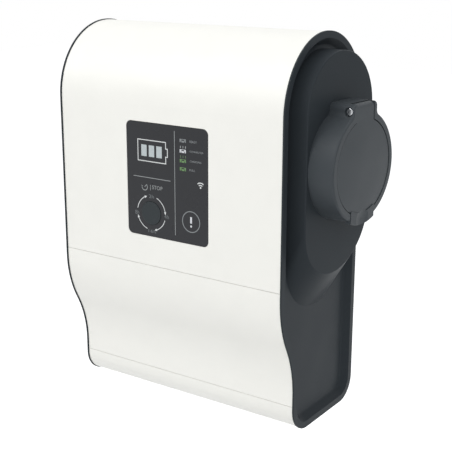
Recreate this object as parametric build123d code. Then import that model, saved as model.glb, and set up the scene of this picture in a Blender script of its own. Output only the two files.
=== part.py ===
"""Wall box that charges a vehicle, in millimetres.

The front faces -Y, the wall is the plane Y = 0 and +Z is up. The origin is the middle of the
wall fixing pattern on the wall plane. The socket stands on the +X side.
"""

import math
import os

from build123d import *

# Housing
width = 261.0
depth = 143.3
height = 380.0
foot_front_r = 26.3
foot_back_r = 22.7
chin_setback = 26.1
chin_end = 41.6
foot_seam_height = 29.9
back_seam_height = 25.0
skin_step = 0.8
skin_wall = 2.8
seam_gap = 0.4
seam_lip = 1.5
seam_lip_height = 6.0
fit_gap = 0.3

# Control panel in the upper cover
panel_width = 95.8
panel_height = 111.2
panel_corner_r = 5.5
panel_offset = 1.6
panel_drop = 16.0
panel_gap = 0.3
panel_step = 0.2
lens_thickness = 1.6
seam_below_panel = 29.9
chin_below_seam = 7.1
carrier_flange = 6.0
carrier_thickness = 2.0
carrier_screw_r = 1.4
board_standoff = 8.0
board_thickness = 1.6
board_corner_r = 2.0
board_margin = 8.0

# Parts on the control board
board_plug_wall = 2.0
board_plug_depth = 6.0
board_plug_height = 7.0
chip_size = 28.0
chip_thickness = 3.0

# Timer button and its switch
button_r = 11.5
button_x = -17.6
button_below = 32.3
button_proud = 0.6
button_gap = 0.3
button_flange = 1.6
button_flange_thickness = 1.5
button_travel = 1.0
button_stem_r = 3.0
button_stem_length = 1.6
switch_size = 6.2
switch_body = 3.4
plunger_r = 1.7
plunger_length = 2.5
plunger_running = 0.06

# Lights behind the control panel
bar_width = 6.6
bar_height = 11.2
bar_pitch = 9.05
bar_x = -17.9
bar_above = 28.4
lamp_width = 7.2
lamp_height = 3.3
lamp_x = 19.1
lamp_above = (42.5, 32.7, 23.5, 15.7)
ring_r = 10.5
ring_wall = 1.0
ring_x = 28.1
ring_below = 33.8
ring_groove = 1.0
mark_width = 2.2
mark_height = 6.3
mark_low = 1.5
mark_dot_r = 1.1
mark_drop = 4.3
light_fit = 0.05
light_tail = 1.0

# Side covers
rim_edge = 1.6
rim_width = 6.5
rim_slope = 6.2
pocket_depth = 6.8
pocket_round = 4.0
cover_wall = 2.4
cover_depth = 12.0
skirt_inset = 3.9
gasket_thickness = 1.0
gasket_width = 2.2
screw_boss_r = 4.0
screw_inset = 9.6
screw_r = 1.5
screw_head_r = 3.0
screw_head = 2.0
screw_bite = 2.6

# Pedestal that carries the socket
pedestal_r = 53.5
pedestal_height = 16.7
pedestal_half = 49.0
pedestal_foot_drop = 87.7
pedestal_edge_r = 1.2
socket_tilt = 4.5
socket_drop = 47.1

# Socket collar and lid
collar_base_r = 52.0
collar_front_r = 50.6
collar_length = 25.4
collar_edge_r = 1.8
mouth_r = 38.0
seat_depth = 6.4
lid_r = 43.7
lid_gap = 0.8
lid_taper = 1.3
core_wall = 3.0
core_depth = 15.0
collar_boss_r = 5.0
hinge_width = 40.0
hinge_top = 58.3
hinge_corner_r = 5.0
hinge_flare_r = 6.0
hinge_up = 51.5
hinge_back = 5.6
neck_width = 28.6
neck_top = 58.0
neck_corner_r = 3.0
slot_clearance = 0.5
pin_r = 2.5
pin_running = 0.08
pin_seat = 0.02
pin_head_r = 3.4
pin_head = 1.3
pin_recess_r = 4.2
pin_recess = 2.2
lid_wall = 2.3
lid_crown = 0.8
lid_lift = 1.0
lid_edge_r = 0.8
seal_inner_r = 37.4
seal_outer_r = 41.2
seal_rib = 1.6
tab_width = 39.0
tab_r = 53.2
tab_proud = 0.4
tab_dish_r = 42.0
tab_dish = 1.3
spring_wire = 0.9
spring_turns = 5.0
spring_room_r = 4.2
spring_room = 8.4

# Socket insert with its contacts
socket_screw_radius = 45.0
socket_screw_turn = 45.0
socket_screw_r = 2.0
socket_screw_head_r = 3.6
socket_screw_length = 16.0
insert_r = 37.5
insert_wall = 4.0
insert_front = 4.0
insert_depth = 26.0
insert_back = 4.0
insert_gap = 0.5
clamp_ring_r = 49.0
clamp_ring_thickness = 3.0
boss_r = 27.5
boss_flat = 20.0
boss_step = 4.0
contact_r = 3.05
contact_wall = 1.1
contact_step = 3.0
contact_length = 38.0
signal_r = 1.6
power_contacts = ((0.0, 0.0), (-17.4, 0.0), (17.4, 0.0), (-8.9, -15.2), (8.9, -15.2))
signal_contacts = ((-7.6, 12.6), (7.6, 12.6))
base_shoulder = 3.0
cap_r = 29.0
cap_wall = 2.0
cap_depth = 20.0

# Lock that holds the plug
lock_width = 28.0
lock_height = 37.5
lock_length = 24.0
lock_edge_r = 2.0
lock_drive_r = 10.0
lock_pin_r = 2.8
lock_pin_length = 24.0
lock_travel = 7.0
lock_running = 0.08
lock_back = 18.0

# Frame behind the covers
back_wall = 3.5
bulkhead = 2.5
bulkhead_inner = 14.0
shelf = 2.5
rib_depth = 3.0
wall_hole_r = 3.25
wall_hole_side = 40.5
wall_hole_drop = 13.35
wall_boss_r = 8.0
wall_boss = 3.0

# Electrics on the frame
rail_width = 35.0
rail_web = 27.0
rail_depth = 7.5
rail_sheet = 1.0
rail_start = -108.0
rail_length = 150.0
rail_drop = 75.0
rail_pad = 3.0
module_height = 85.0
module_nose = 45.0
module_shoulder = 43.0
module_depth = 58.0
module_gap = 1.0
module_groove = 1.2
module_groove_depth = 2.0
contactor_width = 53.0
breaker_width = 36.0
meter_width = 36.0
terminal_r = 2.6
power_board_width = 140.0
power_board_height = 62.0
power_board_x = -5.0
power_board_up = 100.0
power_board_standoff = 8.0
standoff_r = 4.0
transformer_size = (38.0, 30.0, 32.0)
relay_size = (28.0, 12.0, 25.0)
relay_pitch = 29.5
relay_room = 1.0
relay_edge_r = 1.0
capacitor_r = 7.0
capacitor_height = 28.0
capacitor_pitch = 15.0
capacitor_room = 4.0
winding_r = 12.7
winding_end = 2.0
terminal_count = 5
terminal_pitch = 12.0
terminal_height = 34.0
terminal_depth = 30.0
terminal_up = 28.0
terminal_x = -62.0
terminal_pad = 8.0
terminal_nose = 6.0
terminal_step = 10.0
terminal_hole_depth = 12.0
terminal_wire_r = 3.4
earth_length = 60.0
earth_width = 9.0
earth_thickness = 6.0
earth_up = 50.0
earth_x = 48.0
earth_standoff = 8.0
earth_screw_count = 4
earth_pitch = 13.0

# Cable entry in the bottom
gland_x = -35.0
plug_x = 35.0
entry_y = -48.0
gland_thread_r = 12.4
gland_bore_r = 9.5
gland_hex = 16.0
gland_flange = 4.0
gland_nut = 5.0
gland_cap = 6.0
gland_cap_wall = 1.6
gland_above = 9.0
seal_bore_r = 8.0
plug_thread_r = 9.9
plug_head_r = 13.0
plug_head = 3.0

# Flat cable and socket wiring
ribbon_width = 16.0
ribbon_thickness = 1.2
ribbon_x = 34.0
ribbon_front = 22.0
ribbon_bend = 8.0
loom_r = 5.5
loom_x = 78.0
loom_room = 0.8
loom_below = 21.0
loom_bend = 12.0
bottom_screw_r = 2.0
bottom_screw_head_r = 3.8
bottom_screw_head = 1.4
bottom_screw_x = 82.0
screw_slot = 1.0

# Places worked out from the sizes above
top_z = height / 2
base_z = -height / 2
spring_z = top_z - depth / 2
face_x = width / 2
front_y = -depth
skin_in = skin_step + skin_wall
shell_x = face_x - rim_edge - fit_gap
panel_z = spring_z - panel_drop - panel_height / 2
seam_z = panel_z - panel_height / 2 - seam_below_panel
chin_start_z = seam_z - chin_below_seam
chin_end_z = base_z + chin_end
foot_seam_z = base_z + foot_seam_height
back_seam_z = base_z + back_seam_height
floor_x = face_x - pocket_depth
cover_back_x = face_x - cover_depth
bulkhead_x = cover_back_x - gasket_thickness
bulkhead_in_x = bulkhead_x - bulkhead
socket_y = -depth / 2
socket_z = spring_z - socket_drop
lens_y = front_y + skin_step + panel_step
carrier_y = front_y + skin_in
carrier_back_y = carrier_y + carrier_thickness
board_y = carrier_back_y + board_standoff
button_z = panel_z - button_below
light_back_y = carrier_back_y + light_tail
button_back_y = carrier_back_y + fit_gap
stem_end_y = button_back_y + button_flange_thickness + button_stem_length
frame_back_y = -back_wall
shelf_z = base_z + skirt_inset + shelf
wall_hole_x = face_x - wall_hole_side
wall_hole_z = spring_z - wall_hole_drop
seat_z = collar_length - seat_depth
hinge_z = collar_length - hinge_back
rim_z = collar_length - lid_crown / 2
neck_r = neck_top - hinge_up
inner_face = -cover_wall
clamp_back_z = inner_face - clamp_ring_thickness
insert_back_z = insert_front - insert_depth - insert_back
base_back_z = insert_back_z - base_shoulder
power_board_z = base_z + power_board_up
power_board_back_y = -back_wall - power_board_standoff
power_board_y = power_board_back_y - board_thickness
transformer_end_x = power_board_x - power_board_width / 2 + 3 * standoff_r + transformer_size[0]
power_board_end_x = power_board_x + power_board_width / 2
socket_frame = Plane(
    origin=(face_x + pedestal_height, socket_y, socket_z),
    x_dir=(math.sin(math.radians(socket_tilt)), math.cos(math.radians(socket_tilt)), 0),
    z_dir=(math.cos(math.radians(socket_tilt)), -math.sin(math.radians(socket_tilt)), 0),
)
reach = 2 * (width + depth + height)


def block(x0, x1, y0, y1, z0, z1):
    """Box between two corners."""
    return Pos((x0 + x1) / 2, (y0 + y1) / 2, (z0 + z1) / 2) * Box(x1 - x0, y1 - y0, z1 - z0)


def rod(start, direction, radius, length):
    """Cylinder from a point along a direction."""
    base = (Align.CENTER, Align.CENTER, Align.MIN)
    return Plane(origin=start, z_dir=direction) * Cylinder(radius, length, align=base)


def tube(start, direction, outer, inner, length):
    """Round tube from a point along a direction."""
    return rod(start, direction, outer, length) - rod(start, direction, inner, length)


def hexagon(start, direction, flats, length):
    """Hexagonal bar, flats apart as given by its half width."""
    face = Plane(origin=start, z_dir=direction) * RegularPolygon(flats, 6, major_radius=False)
    return extrude(face, amount=length)


def upright_plate(w, h, corner, x, z, y0, y1):
    """Plate with rounded corners that stands parallel to the wall."""
    stand = Plane(origin=(x, y0, z), x_dir=(1, 0, 0), z_dir=(0, 1, 0))
    return extrude(stand * RectangleRounded(w, h, corner), amount=y1 - y0)


def outline(inset, x=0.0):
    """Side profile of the housing as a face, moved inwards by inset."""
    chin_drop = chin_start_z - chin_end_z
    chin_r = (chin_drop**2 + chin_setback**2) / (4 * chin_setback)
    upper = Vector(x, front_y + chin_r, chin_start_z)
    lower = Vector(x, front_y + chin_setback - chin_r, chin_end_z)
    across = (lower - upper).normalized()
    turn = upper + across * (chin_r - inset)
    half_upper = (across + Vector(0, -1, 0)).normalized()
    half_lower = (Vector(0, 1, 0) - across).normalized()
    foot_y = front_y + chin_setback + inset
    front_corner = Vector(x, front_y + chin_setback + foot_front_r, base_z + foot_front_r)
    back_corner = Vector(x, -foot_back_r, base_z + foot_back_r)
    slant = math.sqrt(0.5)
    front_mid = front_corner - Vector(0, slant, slant) * (foot_front_r - inset)
    back_mid = back_corner + Vector(0, slant, -slant) * (foot_back_r - inset)
    left = Vector(x, front_y + inset, spring_z)
    right = Vector(x, -inset, spring_z)
    crown = Vector(x, -depth / 2, top_z - inset)
    back_low = Vector(x, -inset, back_corner.Z)
    bottom_back = Vector(x, back_corner.Y, base_z + inset)
    bottom_front = Vector(x, front_corner.Y, base_z + inset)
    foot_top = Vector(x, foot_y, front_corner.Z)
    chin_low = Vector(x, foot_y, chin_end_z)
    chin_high = Vector(x, front_y + inset, chin_start_z)
    lower_mid = lower + half_lower * (chin_r + inset)
    upper_mid = upper + half_upper * (chin_r - inset)
    edges = [
        Edge.make_three_point_arc(left, crown, right),
        Edge.make_line(right, back_low),
        Edge.make_three_point_arc(back_low, back_mid, bottom_back),
        Edge.make_line(bottom_back, bottom_front),
        Edge.make_three_point_arc(bottom_front, front_mid, foot_top),
        Edge.make_line(foot_top, chin_low),
        Edge.make_three_point_arc(chin_low, lower_mid, turn),
        Edge.make_three_point_arc(turn, upper_mid, chin_high),
        Edge.make_line(chin_high, left),
    ]
    return Face(Wire(edges))


def slab(inset, x0, x1):
    """The side profile as a solid between two places across the width."""
    return extrude(outline(inset, x0), amount=x1 - x0, dir=(1, 0, 0))


def obround(x, radius, low_z, high_z):
    """Upright slot shape, centred on the socket, as a face across the width."""
    left_low = Vector(x, socket_y - radius, low_z)
    right_low = Vector(x, socket_y + radius, low_z)
    left_high = Vector(x, socket_y - radius, high_z)
    right_high = Vector(x, socket_y + radius, high_z)
    edges = [
        Edge.make_three_point_arc(left_high, Vector(x, socket_y, high_z + radius), right_high),
        Edge.make_line(right_high, right_low),
        Edge.make_three_point_arc(right_low, Vector(x, socket_y, low_z - radius), left_low),
        Edge.make_line(left_low, left_high),
    ]
    return Face(Wire(edges))


# Side covers
def pocket(shift):
    """Air in front of the sunk field, grown by shift into the plastic."""
    lean = math.atan2(pocket_depth, rim_slope)
    sideways = shift / math.sin(lean)
    drop = pocket_depth + shift
    top_inset = rim_width - sideways
    low_inset = top_inset + rim_slope * drop / pocket_depth
    air = loft([outline(top_inset, face_x), outline(low_inset, face_x - drop)], ruled=True)
    floor = air.faces().sort_by(Axis.X)[0]
    return fillet(floor.edges(), pocket_round)


def pedestal(shift):
    """Raised slot shape whose lower end is a ramp and whose top is tilted to the front."""
    ramp = (pedestal_foot_drop - pedestal_half) / (pedestal_height + pocket_depth)
    radius = pedestal_r - shift
    upper_z = socket_z + pedestal_half
    foot_z = socket_z - pedestal_foot_drop + shift * (math.hypot(1, ramp) - 1)
    over = pocket_depth + 2 * pedestal_height
    foot = obround(floor_x, radius, foot_z, upper_z)
    head = obround(floor_x + over, radius, foot_z + ramp * over, upper_z)
    body = loft([foot, head], ruled=True)
    body += extrude(foot, amount=cover_depth * (shift > 0) + pocket_round, dir=(-1, 0, 0))
    low = Pos(0, 0, -shift - reach / 2) * Box(reach, reach, reach)
    body = body & (socket_frame * low)
    if shift > 0:
        return body
    top = body.faces().sort_by(Axis((0, 0, 0), socket_frame.z_dir))[-1]
    return fillet(top.edges(), pedestal_edge_r)


def cover_screw_spots():
    """Places of the side cover screws in the side view."""
    front = front_y + screw_inset
    back = -screw_inset
    return [(front, spring_z), (front, seam_z), (back, spring_z), (back, foot_seam_z + screw_inset)]


def side_cover(with_pedestal):
    """Moulded side cover, drawn for the +X side."""
    rim = slab(0, face_x - rim_edge, face_x)
    outer = rim + slab(skirt_inset, cover_back_x, face_x) - pocket(0)
    inner = slab(skirt_inset + cover_wall, cover_back_x - 1, face_x - cover_wall) - pocket(cover_wall)
    if with_pedestal:
        outer += pedestal(0) & slab(0, cover_back_x, face_x + reach)
        inner += pedestal(cover_wall)
    cover = outer - inner
    for y, z in cover_screw_spots():
        boss = rod((cover_back_x, y, z), (1, 0, 0), screw_boss_r, cover_depth - rim_edge)
        cover += boss - pocket(0)
    for y, z in cover_screw_spots():
        cover -= rod((cover_back_x, y, z), (1, 0, 0), screw_r, screw_bite + fit_gap)
    if with_pedestal:
        hole = rod((0, 0, -reach / 2), (0, 0, 1), insert_r + insert_gap, reach)
        cover -= socket_frame * hole & block(0, reach, -reach, reach, -reach, reach)
        for x, y in socket_screw_spots():
            start = (x, y, -pedestal_height)
            cover -= socket_frame * rod(start, (0, 0, 1), socket_screw_r + fit_gap, 2 * pedestal_height)
    return cover


def side_gasket():
    """Foam strip between the side cover and the frame, drawn for the +X side."""
    ring = slab(skirt_inset, bulkhead_x, cover_back_x)
    return ring - slab(skirt_inset + gasket_width, bulkhead_x, cover_back_x)


def side_screws():
    """Screws that hold a side cover from inside, drawn for the +X side."""
    screws = []
    for y, z in cover_screw_spots():
        shank = bulkhead + gasket_thickness + screw_bite
        screw = rod((bulkhead_in_x, y, z), (1, 0, 0), screw_r - pin_seat, shank)
        screws.append(screw + rod((bulkhead_in_x - screw_head, y, z), (1, 0, 0), screw_head_r, screw_head))
    return Compound(children=screws)


# Front covers
def skin():
    """The whole white skin as one band round the housing."""
    return slab(skin_step, -shell_x, shell_x) - slab(skin_in, -shell_x, shell_x)


def carrier_spots():
    """Places of the carrier screws in the front view."""
    x = panel_width / 2 + carrier_flange / 2
    z = panel_height / 2 - board_margin
    return [(panel_offset + sx * x, panel_z + sz * z) for sx in (-1, 1) for sz in (-1, 1)]


def upper_cover():
    """Front and roof in one shell, with the panel's window."""
    front = block(-reach, reach, front_y, -depth / 2, seam_z + seam_gap / 2, top_z)
    roof = block(-reach, reach, -depth / 2 - 1, 0, spring_z, top_z)
    cover = skin() & (front + roof)
    window = upright_plate(
        panel_width + 2 * panel_gap,
        panel_height + 2 * panel_gap,
        panel_corner_r + panel_gap,
        panel_offset,
        panel_z,
        front_y - 1,
        carrier_y + 1,
    )
    cover -= window
    for x, z in carrier_spots():
        start = (x, carrier_y - skin_wall / 2, z)
        cover += rod(start, (0, 1, 0), 2 * carrier_screw_r, carrier_thickness + skin_wall / 2)
        cover -= rod((x, carrier_y, z), (0, 1, 0), carrier_screw_r, carrier_thickness)
    return cover


def lower_cover():
    """Curved lower front cover, with a lip that reaches behind each seam."""
    zone = block(-reach, reach, front_y, -depth / 2, foot_seam_z + seam_gap / 2, seam_z - seam_gap / 2)
    cover = skin() & zone
    lip_x = bulkhead_in_x - fit_gap
    lip = slab(skin_in - seam_gap / 2, -lip_x, lip_x) - slab(skin_in + seam_lip, -lip_x, lip_x)
    low = block(-reach, reach, front_y, -depth / 2, seam_z - 2 * seam_lip_height, seam_z - seam_gap / 2)
    band = slab(skin_in + fit_gap, -lip_x, lip_x) - slab(skin_in + seam_lip, -lip_x, lip_x)
    high = block(-reach, reach, front_y, -depth / 2, seam_z - seam_gap, seam_z + seam_lip_height)
    return cover + (lip & low) + (band & high)


def bottom_cover():
    """Foot of the housing, from the lower seam round the bottom to the wall."""
    front = block(-reach, reach, front_y, -depth / 2, base_z, foot_seam_z - seam_gap / 2)
    back = block(-reach, reach, -depth / 2 - 1, 0, base_z, back_seam_z - seam_gap / 2)
    cover = skin() & (front + back)
    cover -= rod((gland_x, entry_y, base_z), (0, 0, 1), gland_thread_r + fit_gap, skin_in + 1)
    cover -= rod((plug_x, entry_y, base_z), (0, 0, 1), plug_thread_r + fit_gap, skin_in + 1)
    for x, y in bottom_screw_spots():
        cover -= rod((x, y, base_z), (0, 0, 1), bottom_screw_r + fit_gap, skin_in + 1)
        sink = skin_step + bottom_screw_head
        cover -= rod((x, y, base_z), (0, 0, 1), bottom_screw_head_r + fit_gap, sink)
    return cover


def bottom_screw_spots():
    """Places of the screws in the bottom."""
    front = front_y + chin_setback + foot_front_r + bottom_screw_head_r
    back = -foot_back_r - bottom_screw_head_r
    return [(sx * bottom_screw_x, y) for sx in (-1, 1) for y in (front, back)]


def bottom_screws():
    """Screws through the bottom into the frame's shelf."""
    screws = []
    for x, y in bottom_screw_spots():
        seat = base_z + skin_step + bottom_screw_head
        head = rod((x, y, seat - bottom_screw_head), (0, 0, 1), bottom_screw_head_r, bottom_screw_head)
        half = screw_slot / 2
        low = seat - bottom_screw_head
        head -= block(x - bottom_screw_r, x + bottom_screw_r, y - half, y + half, low, low + screw_slot)
        screws.append(head + rod((x, y, seat), (0, 0, 1), bottom_screw_r - pin_seat, shelf_z - seat))
    return Compound(children=screws)


# Control panel
def panel_plate(wide, y0, y1):
    """Plate as high as the panel and centred on it."""
    return upright_plate(wide, panel_height, panel_corner_r, panel_offset, panel_z, y0, y1)


def panel_lens():
    """Dark front plate of the control panel, with openings for button and lights."""
    lens = panel_plate(panel_width, lens_y, lens_y + lens_thickness)
    lens -= rod((button_x, front_y, button_z), (0, 1, 0), button_r + button_gap, depth / 2)
    return lens - bar_windows(0) - lamp_windows(0) - fault_windows(0)


def joined(solids):
    """Separate solids as one shape."""
    whole = solids[0]
    for solid in solids[1:]:
        whole += solid
    return whole


def window(x, z, wide, high):
    """Room for one light, from the front of the panel to the back of its guide."""
    x += panel_offset
    z += panel_z
    return block(x - wide / 2, x + wide / 2, lens_y, light_back_y, z - high / 2, z + high / 2)


def bar_windows(gap):
    """The three charge level bars."""
    wide = bar_width - 2 * gap
    high = bar_height - 2 * gap
    return joined([window(bar_x + i * bar_pitch, bar_above, wide, high) for i in (-1, 0, 1)])


def lamp_windows(gap):
    """The status lights in a column."""
    wide = lamp_width - 2 * gap
    high = lamp_height - 2 * gap
    return joined([window(lamp_x, above, wide, high) for above in lamp_above])


def fault_windows(gap):
    """Ring, bar and dot of the fault light."""
    x = panel_offset + ring_x
    z = panel_z - ring_below
    inner = ring_r - ring_wall + gap
    circle = tube((x, lens_y, z), (0, 1, 0), ring_r - gap, inner, ring_groove - gap)
    middle = mark_height / 2 - mark_low - ring_below
    bar = window(ring_x, middle, mark_width - 2 * gap, mark_height - 2 * gap)
    dot = rod((x, lens_y, z - mark_drop), (0, 1, 0), mark_dot_r - gap, light_back_y - lens_y)
    return joined([circle, bar, dot])


def panel_carrier():
    """Moulding that carries lens, board and button behind the window."""
    flange_w = panel_width + 2 * carrier_flange
    carrier = panel_plate(flange_w, carrier_y, carrier_back_y)
    carrier += panel_plate(panel_width, lens_y + lens_thickness, carrier_back_y)
    for x, z in carrier_spots():
        carrier -= rod((x, carrier_y, z), (0, 1, 0), 2 * carrier_screw_r + fit_gap, carrier_thickness)
    for x, z in board_spots():
        carrier += rod((x, carrier_back_y, z), (0, 1, 0), standoff_r - 1, board_standoff)
    carrier -= rod((button_x, front_y, button_z), (0, 1, 0), button_r + button_gap, depth / 2)
    return carrier - bar_windows(0) - lamp_windows(0) - fault_windows(0)


def board_spots():
    """Places of the posts that carry the control board."""
    x = panel_width / 2 - board_margin
    z = panel_height / 2 - board_margin
    return [(panel_offset + sx * x, panel_z + sz * z) for sx in (-1, 1) for sz in (-1, 1)]


def carrier_screws():
    """Pan head screws that hold the carrier to the upper cover."""
    screws = []
    for x, z in carrier_spots():
        screw = rod((x, carrier_y, z), (0, 1, 0), carrier_screw_r - pin_seat, carrier_thickness)
        head_r = 2 * carrier_screw_r + 2 * fit_gap
        screws.append(screw + rod((x, carrier_back_y, z), (0, 1, 0), head_r, screw_head))
    return Compound(children=screws)


def control_board():
    """Circuit board behind the panel with its socket for the flat cable."""
    board_w = panel_width - board_margin
    board_h = panel_height - board_margin
    back = board_y + board_thickness
    board = upright_plate(board_w, board_h, board_corner_r, panel_offset, panel_z, board_y, back)
    low = panel_z - board_h / 2
    plug_half = ribbon_width / 2 + board_plug_wall
    board += block(
        ribbon_x - plug_half,
        ribbon_x + plug_half,
        back,
        back + board_plug_depth,
        low + board_plug_wall,
        low + board_plug_wall + board_plug_height,
    )
    half = chip_size / 2
    board += block(
        panel_offset - half, panel_offset + half, back, back + chip_thickness, panel_z - half, panel_z + half
    )
    return board


def timer_button():
    """Round push button, held behind the carrier by its flange."""
    face_y = lens_y - button_proud
    back_y = button_back_y
    button = rod((button_x, face_y, button_z), (0, 1, 0), button_r, back_y - face_y)
    button = fillet(button.edges().sort_by(Axis.Y)[0], button_proud / 2)
    button += rod((button_x, back_y, button_z), (0, 1, 0), button_r + button_flange, button_flange_thickness)
    return button + rod((button_x, back_y, button_z), (0, 1, 0), button_stem_r, stem_end_y - back_y)


def switch_plunger():
    """Plunger of the push switch, under the button's stem."""
    return rod((button_x, stem_end_y, button_z), (0, 1, 0), plunger_r, plunger_length)


def button_switch():
    """Push switch on the board, with the well its plunger slides in."""
    half = switch_size / 2
    front = board_y - switch_body
    body = block(button_x - half, button_x + half, front, board_y, button_z - half, button_z + half)
    well = stem_end_y + plunger_length + button_travel + fit_gap - front
    return body - rod((button_x, front, button_z), (0, 1, 0), plunger_r + plunger_running, well)


# Socket collar
def socket_screw_spots():
    """Places of the socket screws round its axis."""
    turns = [math.radians(socket_screw_turn + 90 * i) for i in range(4)]
    return [(socket_screw_radius * math.cos(a), socket_screw_radius * math.sin(a)) for a in turns]


def ring(outer, inner, z0, z1):
    """Ring round the socket's axis."""
    return tube((0, 0, z0), (0, 0, 1), outer, inner, z1 - z0)


def collar():
    """Round collar with hinge ears on top and a notch for the lid's tab below."""
    axis_base = (Align.CENTER, Align.CENTER, Align.MIN)
    body = Cone(collar_base_r, collar_front_r, collar_length, align=axis_base) + hinge_head()
    tall = body.edges().filter_by(lambda e: e.bounding_box().size.Z > collar_length / 2)
    sides = tall.filter_by(lambda e: abs(abs(e.center().X) - hinge_width / 2) < fit_gap)
    body = fillet(sides.sort_by(Axis.Y)[:2], hinge_flare_r)
    body = fillet(body.faces().sort_by(Axis.Z)[-1].edges(), collar_edge_r)
    body -= rod((0, 0, -1), (0, 0, 1), mouth_r, collar_length + 2)
    body -= rod((0, 0, seat_z), (0, 0, 1), lid_r + lid_gap, collar_length)
    core = ring(collar_front_r - core_wall, mouth_r + core_wall, -1, core_depth)
    for x, y in socket_screw_spots():
        core -= rod((x, y, -1), (0, 0, 1), collar_boss_r, core_depth + 1)
    body -= core
    for x, y in socket_screw_spots():
        body -= rod((x, y, -1), (0, 0, 1), socket_screw_r + pin_seat, core_depth)
    return body - neck_slot() - tab_notch()


def hinge_head():
    """Block on top of the collar that the two hinge ears are cut from."""
    half = hinge_width / 2
    head = block(-half, half, 0, hinge_top, 0, collar_length)
    top = head.faces().sort_by(Axis.Y)[-1]
    return fillet(top.edges().filter_by(Axis.Z), hinge_corner_r)


def neck_slot():
    """Room for the lid's neck, with the pin's bore and recesses."""
    half = neck_width / 2 + slot_clearance
    slot = rod((-half, hinge_up, hinge_z), (1, 0, 0), neck_r + slot_clearance, 2 * half)
    low = seal_outer_r - 1
    slot += block(-half, half, low, hinge_top + 1, hinge_z - slot_clearance, collar_length + 1)
    ends = hinge_width / 2
    past = hinge_flare_r
    slot += rod((-ends - past, hinge_up, hinge_z), (1, 0, 0), pin_r + pin_seat, 2 * (ends + past))
    slot += rod((-ends - past, hinge_up, hinge_z), (1, 0, 0), pin_recess_r, pin_recess + past)
    return slot + rod((ends - pin_recess, hinge_up, hinge_z), (1, 0, 0), pin_recess_r, pin_recess + past)


def tab_notch():
    """Gap in the collar's front for the lid's tab."""
    half = tab_width / 2 + slot_clearance
    return block(-half, half, -collar_base_r - hinge_corner_r, -mouth_r, seat_z + fit_gap, collar_length + 1)


def hinge_pin():
    """Steel hinge pin with a domed head at each end."""
    ends = hinge_width / 2 - pin_recess
    pin = rod((-ends, hinge_up, hinge_z), (1, 0, 0), pin_r, 2 * ends)
    for side in (-1, 1):
        head = rod((side * ends, hinge_up, hinge_z), (side, 0, 0), pin_head_r, pin_head)
        outer = head.edges().sort_by(Axis.X)[-1 if side > 0 else 0]
        pin += fillet(outer, pin_head / 2)
    return pin


def lid_spring():
    """Coil round the hinge pin, between the lid's two knuckles."""
    radius = pin_r + fit_gap + spring_wire / 2
    pitch = spring_wire + fit_gap
    start = -spring_turns * pitch / 2
    path = Plane(origin=(start, hinge_up, hinge_z), x_dir=(0, 1, 0), z_dir=(1, 0, 0)) * Helix(
        pitch, spring_turns * pitch, radius
    )
    section = Plane(origin=path @ 0, z_dir=path % 0) * Rectangle(spring_wire, spring_wire)
    return sweep(section, path=path, is_frenet=True)


# Lid
def lid():
    """Lid with a crowned face, a barrel neck for the hinge and a tab."""
    low = seat_z + lid_lift
    top = collar_length + lid_crown
    profile = make_face(
        Curve()
        + [
            Line((0, 0, low + seal_rib), (0, 0, top)),
            ThreePointArc((0, 0, top), (lid_r / 2, 0, top - (top - rim_z) / 4), (lid_r, 0, rim_z)),
            Line((lid_r, 0, rim_z), (lid_r - lid_taper, 0, low)),
            Line((lid_r - lid_taper, 0, low), (seal_outer_r, 0, low)),
            Line((seal_outer_r, 0, low), (seal_outer_r, 0, rim_z - lid_wall)),
            Line((seal_outer_r, 0, rim_z - lid_wall), (seal_inner_r, 0, rim_z - lid_wall)),
            Line((seal_inner_r, 0, rim_z - lid_wall), (seal_inner_r, 0, low)),
            Line((seal_inner_r, 0, low), (seal_inner_r - seal_rib, 0, low)),
            Line((seal_inner_r - seal_rib, 0, low), (seal_inner_r - seal_rib, 0, low + seal_rib)),
            Line((seal_inner_r - seal_rib, 0, low + seal_rib), (0, 0, low + seal_rib)),
        ]
    )
    disc = revolve(profile, axis=Axis.Z) + tab() - lid_dish()
    disc += neck() - rod((0, 0, low - neck_top), (0, 0, 1), seal_outer_r, rim_z - lid_wall - low + neck_top)
    room = spring_room / 2
    back = hinge_z - neck_r - 1
    disc -= rod((-room, hinge_up, hinge_z), (1, 0, 0), spring_room_r, 2 * room)
    disc -= block(-room, room, hinge_up - spring_room_r, hinge_up + spring_room_r, back, hinge_z)
    half = neck_width / 2
    return disc - rod((-half - 1, hinge_up, hinge_z), (1, 0, 0), pin_r + pin_running, 2 * half + 2)


def neck():
    """Neck of the lid, round about the hinge pin."""
    low = seat_z + lid_lift
    half = neck_width / 2
    barrel = rod((-half, hinge_up, hinge_z), (1, 0, 0), neck_r, 2 * half)
    barrel &= block(-half, half, 0, reach, 0, rim_z)
    body = barrel + block(-half, half, seal_outer_r - 1, hinge_up, low, rim_z)
    crease = body.faces().sort_by(Axis.Z)[-1].edges().sort_by(Axis.Y)[-1]
    return fillet(crease, neck_corner_r)


def tab():
    """Finger tab that passes through the collar's notch."""
    low = seat_z + lid_lift
    high = collar_length + tab_proud
    half = tab_width / 2
    inner = (lid_r - lid_taper + seal_outer_r) / 2
    piece = ring(tab_r, inner, low, high) & block(-half, half, -tab_r - 1, -mouth_r, low, high)
    return fillet(piece.faces().sort_by(Axis.Z)[-1].edges().sort_by(Axis.Y)[0], lid_edge_r)


def lid_dish():
    """Shallow hollow for the finger in the tab."""
    high = collar_length + tab_proud
    middle = -(lid_r + tab_r) / 2 + 1
    return Pos(0, middle, high + tab_dish_r - tab_dish) * Sphere(tab_dish_r)


def lid_seal():
    """Soft ring in the lid's groove."""
    gap = fit_gap / 2
    return ring(seal_outer_r - gap, seal_inner_r + gap, seat_z + fit_gap, rim_z - lid_wall)


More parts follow.
